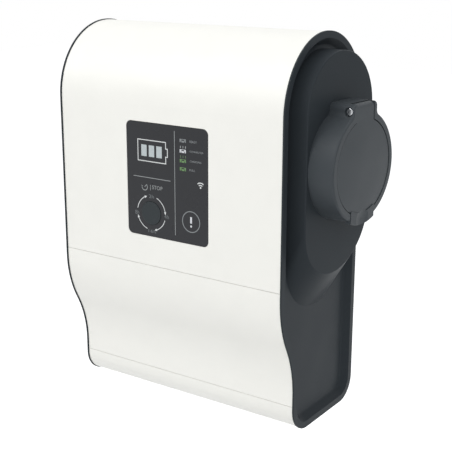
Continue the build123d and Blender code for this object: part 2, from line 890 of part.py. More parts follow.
# Socket insert
def insert():
    """Barrel of the outlet, with the bore of the lock pin in its top."""
    body = ring(insert_r, insert_r - insert_wall, insert_back_z, insert_front)
    return body - rod((0, 0, lock_axis_z()), (0, 1, 0), lock_pin_r + lock_running, 2 * insert_r)


def clamp_ring():
    """Ring that is screwed on the barrel and holds it against the side cover from behind."""
    body = ring(clamp_ring_r, insert_r + fit_gap, clamp_back_z, inner_face)
    for x, y in socket_screw_spots():
        hole = rod((x, y, clamp_back_z), (0, 0, 1), socket_screw_r + fit_gap, clamp_ring_thickness)
        body -= hole
    return body


def contact_base():
    """Disc that closes the barrel from behind and seats on it with its shoulder."""
    floor = insert_back_z + insert_back
    body = rod((0, 0, base_back_z), (0, 0, 1), insert_r, base_shoulder)
    body += rod((0, 0, insert_back_z), (0, 0, 1), insert_r - insert_wall - fit_gap, insert_back)
    return body - contact_holes(base_back_z - 1, floor + 1)


def contact_carrier():
    """Flat topped core in the middle of the barrel, drilled for the contacts."""
    face = insert_front - boss_step
    floor = insert_back_z + insert_back
    core = rod((0, 0, floor), (0, 0, 1), boss_r, face - floor)
    core -= block(-boss_r, boss_r, boss_flat, boss_r + 1, floor, face)
    narrow = contact_holes(floor - 1, face + 1, narrow=True)
    return core - contact_holes(floor - 1, face - contact_step) - narrow


def contact_holes(z0, z1, narrow=False):
    """Seven holes for the contacts, for the sleeves or for the pins alone."""
    extra = fit_gap if narrow else contact_wall + pin_seat
    holes = []
    for spots, radius in ((power_contacts, contact_r), (signal_contacts, signal_r)):
        holes += [rod((x, y, z0), (0, 0, 1), radius + extra, z1 - z0) for x, y in spots]
    return joined(holes)


def contacts():
    """Seven contact sleeves as one group."""
    face = insert_front - boss_step - contact_step
    sleeves = []
    for spots, radius in ((power_contacts, contact_r), (signal_contacts, signal_r)):
        for x, y in spots:
            sleeve = rod((x, y, face - contact_length), (0, 0, 1), radius + contact_wall, contact_length)
            sleeves.append(sleeve - rod((x, y, face - insert_depth), (0, 0, 1), radius, insert_depth + 1))
    return Compound(children=sleeves)


def contact_cap():
    """Cap over the tails of the contacts."""
    back = base_back_z - cap_depth
    cap = ring(cap_r, cap_r - cap_wall, back, base_back_z)
    return cap + rod((0, 0, back), (0, 0, 1), cap_r, cap_wall)


def socket_screws():
    """Screws through the clamp ring and the side cover into the collar."""
    screws = []
    head_z = clamp_back_z - screw_head
    for x, y in socket_screw_spots():
        screw = rod((x, y, clamp_back_z), (0, 0, 1), socket_screw_r, socket_screw_length)
        screws.append(screw + rod((x, y, head_z), (0, 0, 1), socket_screw_head_r, screw_head))
    return Compound(children=screws)


def lock_axis_z():
    """Place of the lock pin along the socket's axis."""
    return clamp_back_z - lock_length / 2


def lock_housing():
    """Case of the lock's drive, saddled on the barrel behind the clamp ring."""
    top = insert_r + lock_height
    front = clamp_back_z
    half = lock_width / 2
    case = block(-half, half, 0, top, front - lock_length, front)
    case = fillet(case.faces().sort_by(Axis.Y)[-1].edges(), lock_edge_r)
    drive_y = top - lock_edge_r - lock_drive_r
    case += rod((0, drive_y, front - lock_length - lock_back), (0, 0, 1), lock_drive_r, lock_back)
    case -= rod((0, 0, front - reach), (0, 0, 1), insert_r + fit_gap, 2 * reach)
    bore = lock_pin_length + lock_travel
    return case - rod((0, insert_r, lock_axis_z()), (0, 1, 0), lock_pin_r + lock_running, bore)


def lock_pin():
    """Steel pin that drops into the slot above the core to hold the plug."""
    tip = insert_r - insert_wall + fit_gap
    pin = rod((0, tip, lock_axis_z()), (0, 1, 0), lock_pin_r, lock_pin_length)
    return chamfer(pin.edges().sort_by(Axis.Y)[0], lock_pin_r / 3)


# Frame and electrics
def standoffs():
    """Places and heights of the posts on the frame's back wall."""
    spots = []
    x_half = power_board_width / 2 - 2 * standoff_r
    z_half = power_board_height / 2 - 2 * standoff_r
    for sx in (-1, 1):
        for sz in (-1, 1):
            z = power_board_z + sz * z_half
            spots.append((power_board_x + sx * x_half, z, power_board_standoff))
    for sx in (-1, 1):
        x = earth_x + sx * (earth_length / 2 - standoff_r)
        spots.append((x, base_z + earth_up, earth_standoff))
    return spots


def frame():
    """Back wall, two ring shaped bulkheads and a bottom shelf in one moulding."""
    wall = block(-shell_x, shell_x, frame_back_y, 0, back_seam_z + seam_gap / 2, spring_z - seam_gap / 2)
    body = wall
    for side in (-1, 1):
        x0 = min(side * bulkhead_x, side * bulkhead_in_x)
        rib = slab(skirt_inset, x0, x0 + bulkhead) - slab(bulkhead_inner, x0, x0 + bulkhead)
        deep = -back_wall - 2 * rib_depth
        low = back_seam_z + rib_depth
        body += rib + block(x0, x0 + bulkhead, deep, -back_wall / 2, low, spring_z - rib_depth)
    floor = slab(skirt_inset, -bulkhead_x, bulkhead_x) - slab(skirt_inset + shelf, -bulkhead_x, bulkhead_x)
    bottom_front = front_y + chin_setback + foot_front_r
    body += floor & block(-reach, reach, bottom_front, 0, base_z, back_seam_z + 4 * rib_depth)
    low = back_seam_z + seam_gap / 2
    body += block(-bulkhead_x, bulkhead_x, -skirt_inset - shelf, -back_wall / 2, low, low + rib_depth)
    for sx in (-1, 1):
        for sz in (-1, 1):
            spot = (sx * wall_hole_x, -back_wall - wall_boss, sz * wall_hole_z)
            body += rod(spot, (0, 1, 0), wall_boss_r, wall_boss + back_wall / 2)
    for sx in (-1, 1):
        for sz in (-1, 1):
            spot = (sx * wall_hole_x, -back_wall - wall_boss - 1, sz * wall_hole_z)
            body -= rod(spot, (0, 1, 0), wall_hole_r, wall_boss + back_wall + 2)
    for x, z, tall in standoffs():
        body += rod((x, -back_wall - tall, z), (0, 1, 0), standoff_r, tall + back_wall / 2)
    rail_z = spring_z - rail_drop
    for x in (rail_start + 2 * standoff_r, rail_start + rail_length - 2 * standoff_r):
        half = rail_web / 2 - rail_sheet
        deep = -back_wall - rail_pad
        body += block(x - standoff_r, x + standoff_r, deep, -back_wall / 2, rail_z - half, rail_z + half)
    x0 = terminal_x
    x1 = terminal_x + terminal_count * terminal_pitch
    low = base_z + terminal_up
    body += block(x0, x1, -back_wall - terminal_pad, -back_wall / 2, low, low + terminal_height)
    for x, radius in ((gland_x, gland_thread_r), (plug_x, plug_thread_r)):
        body -= rod((x, entry_y, base_z), (0, 0, 1), radius + fit_gap, skirt_inset + shelf + 1)
    for x, y in bottom_screw_spots():
        body -= rod((x, y, base_z), (0, 0, 1), bottom_screw_r, skirt_inset + shelf + 1)
    for y, z in cover_screw_spots():
        body -= rod((-bulkhead_x - 1, y, z), (1, 0, 0), screw_r + fit_gap, bulkhead + 2)
        body -= rod((bulkhead_in_x - 1, y, z), (1, 0, 0), screw_r + fit_gap, bulkhead + 2)
    return body


def rail_front_y():
    """Front of the rail's two flanges."""
    return -back_wall - rail_pad - rail_depth


def mounting_rail():
    """Top hat rail along the width."""
    z = spring_z - rail_drop
    back = -back_wall - rail_pad
    x0 = rail_start
    x1 = rail_start + rail_length
    half_web = rail_web / 2
    half = rail_width / 2
    rail = block(x0, x1, back - rail_sheet, back, z - half_web, z + half_web)
    front = rail_front_y()
    for side in (-1, 1):
        wall_z = z + side * (half_web - rail_sheet / 2)
        rail += block(x0, x1, front, back, wall_z - rail_sheet / 2, wall_z + rail_sheet / 2)
        lip_z = z + side * (half_web - rail_sheet + half) / 2
        lip_half = (half - half_web + rail_sheet) / 2
        rail += block(x0, x1, front, front + rail_sheet, lip_z - lip_half, lip_z + lip_half)
    return rail


def modules_start_x():
    """Left side of the row of modules, which is centred on the rail."""
    row = contactor_width + breaker_width + meter_width + 2 * module_gap
    return rail_start + (rail_length - row) / 2


def rail_module(start, wide, ways):
    """Stepped body that clips to the rail, with screw holes for its wires."""
    z = spring_z - rail_drop
    back = rail_front_y()
    shoulder = back - module_shoulder
    nose = back - module_depth
    half = module_height / 2
    body = block(start, start + wide, shoulder, back, z - half, z + half)
    body += block(start, start + wide, nose, back, z - module_nose / 2, z + module_nose / 2)
    for i in range(ways):
        x = start + wide * (i + 0.5) / ways
        for side in (-1, 1):
            spot = (x, shoulder - 1, z + side * (half + module_nose / 2) / 2)
            body -= rod(spot, (0, 1, 0), terminal_r, terminal_r * 3)
            entry = (x, shoulder + module_shoulder / 2, z + side * (half + 1))
            body -= rod(entry, (0, 0, -side), terminal_r, terminal_r * 3)
    slit = module_groove / 2
    body -= block(start - 1, start + wide + 1, nose, nose + module_groove_depth, z - slit, z + slit)
    return body


def power_board():
    """Circuit board with the supply and relays."""
    return upright_plate(
        power_board_width,
        power_board_height,
        board_corner_r,
        power_board_x,
        power_board_z,
        power_board_y,
        power_board_back_y,
    )


def on_board(x, z, size):
    """Block that stands on the power board."""
    y = power_board_y
    return block(x - size[0] / 2, x + size[0] / 2, y - size[2], y, z - size[1] / 2, z + size[1] / 2)


def transformer():
    """Supply transformer with its winding between two core halves."""
    x = transformer_end_x - transformer_size[0] / 2
    y = power_board_y - transformer_size[2] / 2
    low = power_board_z - transformer_size[1] / 2 - winding_end
    winding = rod((x, y, low), (0, 0, 1), winding_r, transformer_size[1] + 2 * winding_end)
    return on_board(x, power_board_z, transformer_size) + winding


def relays():
    """As many switching relays as fit in a row beside the transformer."""
    first = transformer_end_x + relay_room
    count = math.floor((power_board_end_x - first) / relay_pitch)
    z = power_board_z + power_board_height / 4
    places = [first + relay_size[0] / 2 + i * relay_pitch for i in range(count)]
    group = [on_board(x, z, relay_size) for x in places]
    return Compound(children=[fillet(g.faces().sort_by(Axis.Y)[0].edges(), relay_edge_r) for g in group])


def capacitors():
    """As many upright cans as fit in a row between the transformer and the flat cable's plug."""
    first = transformer_end_x + capacitor_room
    last = ribbon_x - ribbon_width / 2 - board_plug_wall
    count = math.floor((last - first) / capacitor_pitch)
    z = power_board_z - power_board_height / 4
    places = [first + capacitor_r + i * capacitor_pitch for i in range(count)]
    cans = [rod((x, power_board_y, z), (0, -1, 0), capacitor_r, capacitor_height) for x in places]
    return Compound(children=cans)


def board_plug():
    """Plug of the flat cable on the power board."""
    wide = ribbon_width + 2 * board_plug_wall
    z = power_board_z - power_board_height / 4
    return on_board(ribbon_x, z, (wide, board_plug_height, board_plug_depth))


def ribbon_cable():
    """Flat cable from the control board down to the power board."""
    start_y = board_y + board_thickness + board_plug_depth
    board_low = panel_z - (panel_height - board_margin) / 2
    start_z = board_low + board_plug_wall + board_plug_height / 2
    end_y = power_board_y - board_plug_depth
    end_z = power_board_z - power_board_height / 4
    turn_y = start_y + ribbon_front
    points = [
        (ribbon_x, start_y, start_z),
        (ribbon_x, turn_y, start_z),
        (ribbon_x, turn_y, end_z),
        (ribbon_x, end_y, end_z),
    ]
    path = FilletPolyline(*points, radius=ribbon_bend)
    section = Plane(origin=path @ 0, x_dir=(1, 0, 0), z_dir=path % 0)
    return sweep(section * Rectangle(ribbon_width, ribbon_thickness), path=path)


def socket_loom():
    """Wires in one sleeve, from the cap behind the contacts to the contactor."""
    start = socket_frame.from_local_coords((0, 0, base_back_z - cap_depth))
    straight = (start.X - loom_x) / socket_frame.z_dir.X
    bend = start - socket_frame.z_dir * straight
    module_low = spring_z - rail_drop - module_height / 2
    low = module_low - loom_below
    end_x = modules_start_x() + contactor_width / 2
    loom_y = power_board_y - transformer_size[2] - loom_room - loom_r
    points = [
        start,
        bend,
        Vector(loom_x, loom_y, low),
        Vector(end_x, loom_y, low),
        Vector(end_x, loom_y, module_low),
    ]
    path = FilletPolyline(*points, radius=loom_bend)
    return sweep(Plane(origin=path @ 0, z_dir=path % 0) * Circle(loom_r), path=path)


def terminal_block():
    """Row of supply terminals with screw and wire holes."""
    z0 = base_z + terminal_up
    back = -back_wall - terminal_pad
    x1 = terminal_x + terminal_count * terminal_pitch
    body = block(terminal_x, x1, back - terminal_depth, back, z0, z0 + terminal_height)
    low = z0 + terminal_step
    high = z0 + terminal_height - terminal_step
    front = back - terminal_depth
    body += block(terminal_x, x1, front - terminal_nose, back, low, high)
    for i in range(terminal_count):
        x = terminal_x + (i + 0.5) * terminal_pitch
        for z in (z0 + terminal_step / 2, z0 + terminal_height - terminal_step / 2):
            body -= rod((x, front, z), (0, 1, 0), terminal_r, terminal_hole_depth)
        middle = back - terminal_depth / 2
        body -= rod((x, middle, z0), (0, 0, 1), terminal_wire_r, terminal_hole_depth)
    return body


def earth_bar():
    """Brass bar for the protective conductors."""
    z = base_z + earth_up
    y = -back_wall - earth_standoff
    half = earth_width / 2
    x0 = earth_x - earth_length / 2
    bar = block(x0, x0 + earth_length, y - earth_thickness, y, z - half, z + half)
    for i in range(earth_screw_count):
        x = earth_x + (i - (earth_screw_count - 1) / 2) * earth_pitch
        bar -= rod((x, y + 1, z), (0, -1, 0), screw_r + 0.5, earth_thickness + 2)
    return bar


def earth_screws():
    """Screws in the earth bar."""
    z = base_z + earth_up
    y = -back_wall - earth_standoff - earth_thickness
    group = []
    for i in range(earth_screw_count):
        x = earth_x + (i - (earth_screw_count - 1) / 2) * earth_pitch
        screw = rod((x, y, z), (0, -1, 0), screw_head_r, screw_head)
        group.append(screw + rod((x, y, z), (0, 1, 0), screw_r + 0.5 - pin_seat, earth_thickness - 1))
    return Compound(children=group)


# Cable entry
def gland_body():
    """Threaded gland with its flange under the bottom."""
    bottom = base_z + skin_step
    body = hexagon((gland_x, entry_y, bottom - gland_flange), (0, 0, 1), gland_hex, gland_flange)
    top = shelf_z + gland_nut + gland_above / 2
    body += rod((gland_x, entry_y, bottom), (0, 0, 1), gland_thread_r, top - bottom)
    spigot = gland_cap - gland_cap_wall
    low = bottom - gland_flange - spigot + fit_gap
    body += rod((gland_x, entry_y, low), (0, 0, 1), gland_thread_r, spigot)
    return body - rod((gland_x, entry_y, bottom - depth), (0, 0, 1), gland_bore_r, 2 * depth)


def gland_nut_ring():
    """Lock nut on the shelf."""
    nut = hexagon((gland_x, entry_y, shelf_z), (0, 0, 1), gland_hex, gland_nut)
    return nut - rod((gland_x, entry_y, shelf_z - 1), (0, 0, 1), gland_thread_r + pin_seat, gland_nut + 2)


def gland_cap_nut():
    """Cap nut that squeezes the seal."""
    top = base_z + skin_step - gland_flange
    cap = hexagon((gland_x, entry_y, top - gland_cap), (0, 0, 1), gland_hex - 1, gland_cap)
    low = cap.faces().sort_by(Axis.Z)[0]
    cap = chamfer(low.edges(), 1.0)
    spigot = gland_cap - gland_cap_wall
    cap -= rod((gland_x, entry_y, top - spigot), (0, 0, 1), gland_thread_r + pin_seat, spigot)
    return cap - rod((gland_x, entry_y, top - gland_cap - 1), (0, 0, 1), gland_bore_r, gland_cap)


def gland_seal():
    """Rubber sleeve in the gland that grips the cable."""
    top = base_z + skin_step - gland_flange
    low = top - gland_cap + gland_cap_wall
    length = shelf_z - low
    return tube((gland_x, entry_y, low), (0, 0, 1), gland_bore_r - pin_seat, seal_bore_r, length)


def blanking_plug():
    """Screw plug in the spare cable entry."""
    bottom = base_z + skin_step
    plug = rod((plug_x, entry_y, bottom - plug_head), (0, 0, 1), plug_head_r, plug_head)
    plug = fillet(plug.edges().sort_by(Axis.Z)[0], plug_head / 3)
    plug += rod((plug_x, entry_y, bottom), (0, 0, 1), plug_thread_r, shelf_z + gland_nut - bottom)
    half = plug_head_r / 2
    low = bottom - plug_head
    slot = block(plug_x - half, plug_x + half, entry_y - 1, entry_y + 1, low, low + screw_slot)
    return plug - slot


def plug_nut():
    """Lock nut of the blanking plug."""
    nut = hexagon((plug_x, entry_y, shelf_z), (0, 0, 1), plug_head_r, gland_nut - 1)
    return nut - rod((plug_x, entry_y, shelf_z - 1), (0, 0, 1), plug_thread_r + pin_seat, gland_nut + 2)


# Files
def on_socket(group):
    """A group of pieces drawn about the socket's axis, moved to the socket."""
    return Compound(children=[socket_frame * piece for piece in group.solids()])


def on_left(group):
    """A group of pieces drawn for the +X side, mirrored to the -X side."""
    return Compound(children=[mirror(piece, about=Plane.YZ) for piece in group.solids()])


def parts():
    """Every sub-part by its node's name."""
    right = side_cover(True)
    left = mirror(side_cover(False), about=Plane.YZ)
    x = modules_start_x()
    contactor = rail_module(x, contactor_width, 4)
    breaker = rail_module(x + contactor_width + module_gap, breaker_width, 2)
    meter = rail_module(x + contactor_width + breaker_width + 2 * module_gap, meter_width, 3)
    return {
        "frame": frame(),
        "upper_cover": upper_cover(),
        "lower_cover": lower_cover(),
        "bottom_cover": bottom_cover(),
        "left_side_cover": left,
        "right_side_cover": right,
        "left_gasket": mirror(side_gasket(), about=Plane.YZ),
        "right_gasket": side_gasket(),
        "left_cover_screws": on_left(side_screws()),
        "right_cover_screws": side_screws(),
        "bottom_screws": bottom_screws(),
        "panel_lens": panel_lens(),
        "panel_carrier": panel_carrier(),
        "carrier_screws": carrier_screws(),
        "battery_light_guides": bar_windows(light_fit),
        "status_light_guides": lamp_windows(light_fit),
        "fault_light_guides": fault_windows(light_fit),
        "control_board": control_board(),
        "timer_button": timer_button(),
        "switch_plunger": switch_plunger(),
        "button_switch": button_switch(),
        "socket_collar": socket_frame * collar(),
        "hinge_pin": socket_frame * hinge_pin(),
        "lid_spring": socket_frame * lid_spring(),
        "socket_lid": socket_frame * lid(),
        "lid_seal": socket_frame * lid_seal(),
        "socket_insert": socket_frame * insert(),
        "clamp_ring": socket_frame * clamp_ring(),
        "contact_base": socket_frame * contact_base(),
        "contact_carrier": socket_frame * contact_carrier(),
        "contact_sleeves": on_socket(contacts()),
        "contact_cap": socket_frame * contact_cap(),
        "socket_screws": on_socket(socket_screws()),
        "lock_housing": socket_frame * lock_housing(),
        "lock_pin": socket_frame * lock_pin(),
        "mounting_rail": mounting_rail(),
        "contactor": contactor,
        "residual_current_breaker": breaker,
        "energy_meter": meter,
        "power_board": power_board(),
        "transformer": transformer(),
        "relays": relays(),
        "capacitors": capacitors(),
        "board_plug": board_plug(),
        "ribbon_cable": ribbon_cable(),
        "socket_loom": socket_loom(),
        "terminal_block": terminal_block(),
        "earth_bar": earth_bar(),
        "earth_screws": earth_screws(),
        "gland_body": gland_body(),
        "gland_lock_nut": gland_nut_ring(),
        "gland_cap": gland_cap_nut(),
        "gland_seal": gland_seal(),
        "blanking_plug": blanking_plug(),
        "plug_lock_nut": plug_nut(),
    }


os.makedirs("parts", exist_ok=True)
for name, shape in parts().items():
    export_step(shape, f"parts/{name}.step")
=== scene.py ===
"""Looks of the wall box: camera, light, materials and the print on its control panel."""

import math

import bmesh
import bpy
from mathutils import Matrix, Vector


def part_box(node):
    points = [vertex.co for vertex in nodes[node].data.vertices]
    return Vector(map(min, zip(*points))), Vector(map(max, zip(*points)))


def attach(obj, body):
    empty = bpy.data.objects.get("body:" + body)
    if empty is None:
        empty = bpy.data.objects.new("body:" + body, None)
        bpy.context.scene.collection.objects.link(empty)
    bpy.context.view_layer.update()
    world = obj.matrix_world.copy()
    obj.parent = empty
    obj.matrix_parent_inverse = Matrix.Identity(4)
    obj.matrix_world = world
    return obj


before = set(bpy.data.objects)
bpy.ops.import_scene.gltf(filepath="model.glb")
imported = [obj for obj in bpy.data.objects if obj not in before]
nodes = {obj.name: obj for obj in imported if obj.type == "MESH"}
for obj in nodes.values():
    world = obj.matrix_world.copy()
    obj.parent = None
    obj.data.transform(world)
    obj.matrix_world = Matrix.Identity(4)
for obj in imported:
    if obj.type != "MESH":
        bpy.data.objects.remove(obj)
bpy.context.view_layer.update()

MM = 0.001


# Camera
TURN = math.radians(34.42)
RISE = math.radians(15.59)
ROLL = math.radians(0.16)
FOCAL_PX = 1001.2
PHOTO_PX = 452
SENSOR_MM = 36.0
EYE = Vector((568.28, -870.32, 261.76)) * MM
NEAREST = 0.05


def make_camera():
    """Camera with the photograph's view."""
    flat = math.cos(RISE)
    back = Vector((math.sin(TURN) * flat, -math.cos(TURN) * flat, math.sin(RISE)))
    side = Vector((math.cos(TURN), math.sin(TURN), 0))
    up = back.cross(side)
    right = side * math.cos(ROLL) + up * math.sin(ROLL)
    top = up * math.cos(ROLL) - side * math.sin(ROLL)
    data = bpy.data.cameras.new("camera")
    data.sensor_width = SENSOR_MM
    data.lens = FOCAL_PX * SENSOR_MM / PHOTO_PX
    data.clip_start = NEAREST
    camera = bpy.data.objects.new("camera", data)
    turn = Matrix((right, top, back)).transposed().to_4x4()
    camera.matrix_world = Matrix.Translation(EYE) @ turn
    bpy.context.scene.collection.objects.link(camera)
    bpy.context.scene.camera = camera


make_camera()


# Light
SKY_COLOUR = (0.97, 0.985, 1.0, 1)
SKY_LIGHT = 0.62
FLOOR_COLOUR = (0.8, 0.8, 0.8, 1)
FLOOR_GLOW = 0.6
FLOOR_HALF = 6.0
FLOOR_Z = -0.62


def area_light(name, place, aim, size, watts):
    """Square soft box that points at a spot."""
    data = bpy.data.lights.new(name, "AREA")
    data.shape = "SQUARE"
    data.size = size
    data.energy = watts
    lamp = bpy.data.objects.new(name, data)
    lamp.location = place
    lamp.rotation_euler = (Vector(place) - Vector(aim)).to_track_quat("Z", "Y").to_euler()
    bpy.context.scene.collection.objects.link(lamp)


def seen_rays(tree):
    """One for rays that show the background: from the camera, glossy and through glass."""
    path = tree.nodes.new("ShaderNodeLightPath")
    seen = path.outputs["Is Camera Ray"]
    for kind in ("Is Glossy Ray", "Is Transmission Ray"):
        larger = tree.nodes.new("ShaderNodeMath")
        larger.operation = "MAXIMUM"
        tree.links.new(seen, larger.inputs[0])
        tree.links.new(path.outputs[kind], larger.inputs[1])
        seen = larger.outputs[0]
    return seen


def make_world():
    """White for the camera, soft grey light for everything else."""
    world = bpy.data.worlds.new("studio")
    bpy.context.scene.world = world
    world.use_nodes = True
    tree = world.node_tree
    tree.nodes.clear()
    out = tree.nodes.new("ShaderNodeOutputWorld")
    mix = tree.nodes.new("ShaderNodeMixShader")
    light = tree.nodes.new("ShaderNodeBackground")
    white = tree.nodes.new("ShaderNodeBackground")
    light.inputs["Color"].default_value = SKY_COLOUR
    light.inputs["Strength"].default_value = SKY_LIGHT
    white.inputs["Color"].default_value = (1, 1, 1, 1)
    white.inputs["Strength"].default_value = 1.0
    tree.links.new(seen_rays(tree), mix.inputs[0])
    tree.links.new(light.outputs[0], mix.inputs[1])
    tree.links.new(white.outputs[0], mix.inputs[2])
    tree.links.new(mix.outputs[0], out.inputs[0])


def make_floor():
    """Plain pale floor below the part, white where the camera sees it lit."""
    mesh = bpy.data.meshes.new("floor")
    half = FLOOR_HALF
    outline = ((-half, -half), (half, -half), (half, half), (-half, half))
    mesh.from_pydata([(x, y, FLOOR_Z) for x, y in outline], [], [(0, 1, 2, 3)])
    floor = bpy.data.objects.new("floor", mesh)
    bpy.context.scene.collection.objects.link(floor)
    material = bpy.data.materials.new("floor")
    material.use_nodes = True
    tree = material.node_tree
    tree.nodes.clear()
    out = tree.nodes.new("ShaderNodeOutputMaterial")
    add = tree.nodes.new("ShaderNodeAddShader")
    mix = tree.nodes.new("ShaderNodeMixShader")
    matte = tree.nodes.new("ShaderNodeBsdfDiffuse")
    glow = tree.nodes.new("ShaderNodeEmission")
    none = tree.nodes.new("ShaderNodeEmission")
    matte.inputs["Color"].default_value = FLOOR_COLOUR
    glow.inputs["Strength"].default_value = FLOOR_GLOW
    none.inputs["Strength"].default_value = 0.0
    tree.links.new(seen_rays(tree), mix.inputs[0])
    tree.links.new(none.outputs[0], mix.inputs[1])
    tree.links.new(glow.outputs[0], mix.inputs[2])
    tree.links.new(matte.outputs[0], add.inputs[0])
    tree.links.new(mix.outputs[0], add.inputs[1])
    tree.links.new(add.outputs[0], out.inputs[0])
    mesh.materials.append(material)


make_world()
make_floor()
area_light("key_light", (-0.9, -1.5, 1.5), (0, -0.07, 0.05), 1.6, 18.5)
area_light("side_light", (1.35, -1.55, 0.85), (0.1, -0.07, 0.05), 1.2, 8)
area_light("back_light", (0.56, 0.73, -0.44), (0.12, -0.06, -0.1), 0.32, 0.35)
area_light("top_light", (0.1, 0.2, 1.9), (0, -0.07, 0.1), 1.5, 5)
bpy.context.scene.view_settings.view_transform = "Standard"


# Materials
STREAK_SCALE = (0.04, 1, 1)
NOISE_LOW = 0.3
NOISE_HIGH = 0.7
LEAST_ROUGH = 0.02
COAT_ROUGH = 0.2
TINT_DARK = 0.975
TINT_LIGHT = 1.025


def surface(name, colour, rough, metallic=0.0, grain=0.0, grain_size=0.5, wave=0.0,
            wave_size=30.0, vary=0.05, coat=0.0, gloss=0.5, streak=False):
    """Procedural finish: even colour with slight drift, fine grain, long waves and uneven gloss.

    Sizes are in millimetres. Grain and wave are heights of bumps in millimetres.
    """
    material = bpy.data.materials.new(name)
    material.use_nodes = True
    tree = material.node_tree
    shader = tree.nodes["Principled BSDF"]
    shader.inputs["Metallic"].default_value = metallic
    shader.inputs["Coat Weight"].default_value = coat
    shader.inputs["Coat Roughness"].default_value = COAT_ROUGH
    shader.inputs["Specular IOR Level"].default_value = gloss
    place = tree.nodes.new("ShaderNodeTexCoord")
    source = place.outputs["Object"]
    if streak:
        squeeze = tree.nodes.new("ShaderNodeMapping")
        squeeze.inputs["Scale"].default_value = STREAK_SCALE
        tree.links.new(source, squeeze.inputs["Vector"])
        source = squeeze.outputs["Vector"]

    def noise(size_mm, detail):
        node = tree.nodes.new("ShaderNodeTexNoise")
        node.inputs["Scale"].default_value = 1 / (size_mm * MM)
        node.inputs["Detail"].default_value = detail
        tree.links.new(source, node.inputs["Vector"])
        return node.outputs["Fac"]

    drift = noise(wave_size, 2)
    ramp = tree.nodes.new("ShaderNodeMapRange")
    ramp.inputs["From Min"].default_value = NOISE_LOW
    ramp.inputs["From Max"].default_value = NOISE_HIGH
    ramp.inputs["To Min"].default_value = max(rough - vary, LEAST_ROUGH)
    ramp.inputs["To Max"].default_value = min(rough + vary, 1.0)
    tree.links.new(drift, ramp.inputs["Value"])
    tree.links.new(ramp.outputs["Result"], shader.inputs["Roughness"])
    tint = tree.nodes.new("ShaderNodeMix")
    tint.data_type = "RGBA"
    darker = [c * TINT_DARK for c in colour]
    lighter = [min(c * TINT_LIGHT, 1) for c in colour]
    tint.inputs[6].default_value = (*darker, 1)
    tint.inputs[7].default_value = (*lighter, 1)
    tree.links.new(noise(wave_size / 2, 3), tint.inputs[0])
    tree.links.new(tint.outputs[2], shader.inputs["Base Color"])
    normal = None
    for height, size, detail in ((grain, grain_size, 3), (wave, wave_size, 0)):
        if height:
            bump = tree.nodes.new("ShaderNodeBump")
            bump.inputs["Strength"].default_value = 1.0
            bump.inputs["Distance"].default_value = height * MM
            tree.links.new(noise(size, detail), bump.inputs["Height"])
            if normal:
                tree.links.new(normal, bump.inputs["Normal"])
            normal = bump.outputs["Normal"]
    if normal:
        tree.links.new(normal, shader.inputs["Normal"])
    return material


def srgb(*levels):
    """Linear colour from 0 to 255 screen levels."""
    return [((v / 255 + 0.055) / 1.055) ** 2.4 for v in levels]


white_shell = surface("white_shell", srgb(244, 243, 237), 0.38, grain=0.012, grain_size=0.6,
                      wave=0.02, wave_size=60)
side_plastic = surface("side_plastic", srgb(50, 55, 59), 0.42, grain=0.02, grain_size=0.45,
                       vary=0.02, gloss=0.05)
socket_plastic = surface("socket_plastic", srgb(62, 67, 71), 0.45, grain=0.02, grain_size=0.4,
                         gloss=0.2)
panel_dark = surface("panel_dark", srgb(44, 45, 48), 0.3, grain=0.004, grain_size=0.5, gloss=0.25)
button_dark = surface("button_dark", srgb(42, 48, 51), 0.42, grain=0.015, grain_size=0.4,
                      gloss=0.25)
frame_grey = surface("frame_grey", srgb(112, 114, 116), 0.55, grain=0.02, grain_size=0.5)
rubber = surface("rubber", srgb(34, 34, 35), 0.7, grain=0.03, grain_size=0.5)
steel = surface("steel", srgb(200, 202, 206), 0.28, metallic=1.0, grain=0.003, grain_size=0.3)
bright_steel = surface("bright_steel", srgb(225, 227, 230), 0.12, metallic=1.0, grain=0.001,
                       grain_size=0.4)
rail_steel = surface("rail_steel", srgb(190, 192, 194), 0.35, metallic=1.0, grain=0.004,
                     grain_size=0.3, streak=True)
silver = surface("silver", srgb(226, 224, 218), 0.22, metallic=1.0, grain=0.002, grain_size=0.3)
brass = surface("brass", srgb(205, 170, 95), 0.3, metallic=1.0, grain=0.004, grain_size=0.3,
                streak=True)
light_bar = surface("light_bar", srgb(184, 192, 194), 0.35, grain=0.003, grain_size=0.4)
light_grey = surface("light_grey", srgb(128, 132, 134), 0.35, grain=0.003, grain_size=0.4)
light_white = surface("light_white", srgb(212, 214, 218), 0.35, grain=0.003, grain_size=0.4)
light_green = surface("light_green", srgb(98, 134, 84), 0.35, grain=0.003, grain_size=0.4)
module_grey = surface("module_grey", srgb(196, 198, 199), 0.5, grain=0.02, grain_size=0.5)
winding = surface("winding", srgb(176, 120, 50), 0.45, grain=0.05, grain_size=0.8)
can = surface("can", srgb(190, 192, 196), 0.3, metallic=1.0, grain=0.004, grain_size=0.3)
board_green = surface("board_green", srgb(28, 82, 48), 0.35, grain=0.01, grain_size=0.7, coat=0.3)
relay_black = surface("relay_black", srgb(40, 42, 46), 0.4, grain=0.01, grain_size=0.4)
print_white = surface("print_white", srgb(214, 216, 216), 0.45, grain=0.003, grain_size=0.3)
print_grey = surface("print_grey", srgb(150, 153, 154), 0.45, grain=0.003, grain_size=0.3)
print_dim = surface("print_dim", srgb(104, 108, 110), 0.45, grain=0.003, grain_size=0.3)
print_label = surface("print_label", srgb(142, 146, 148), 0.45, grain=0.003, grain_size=0.3)
print_glow = surface("print_glow", srgb(86, 108, 78), 0.45, grain=0.003, grain_size=0.3)

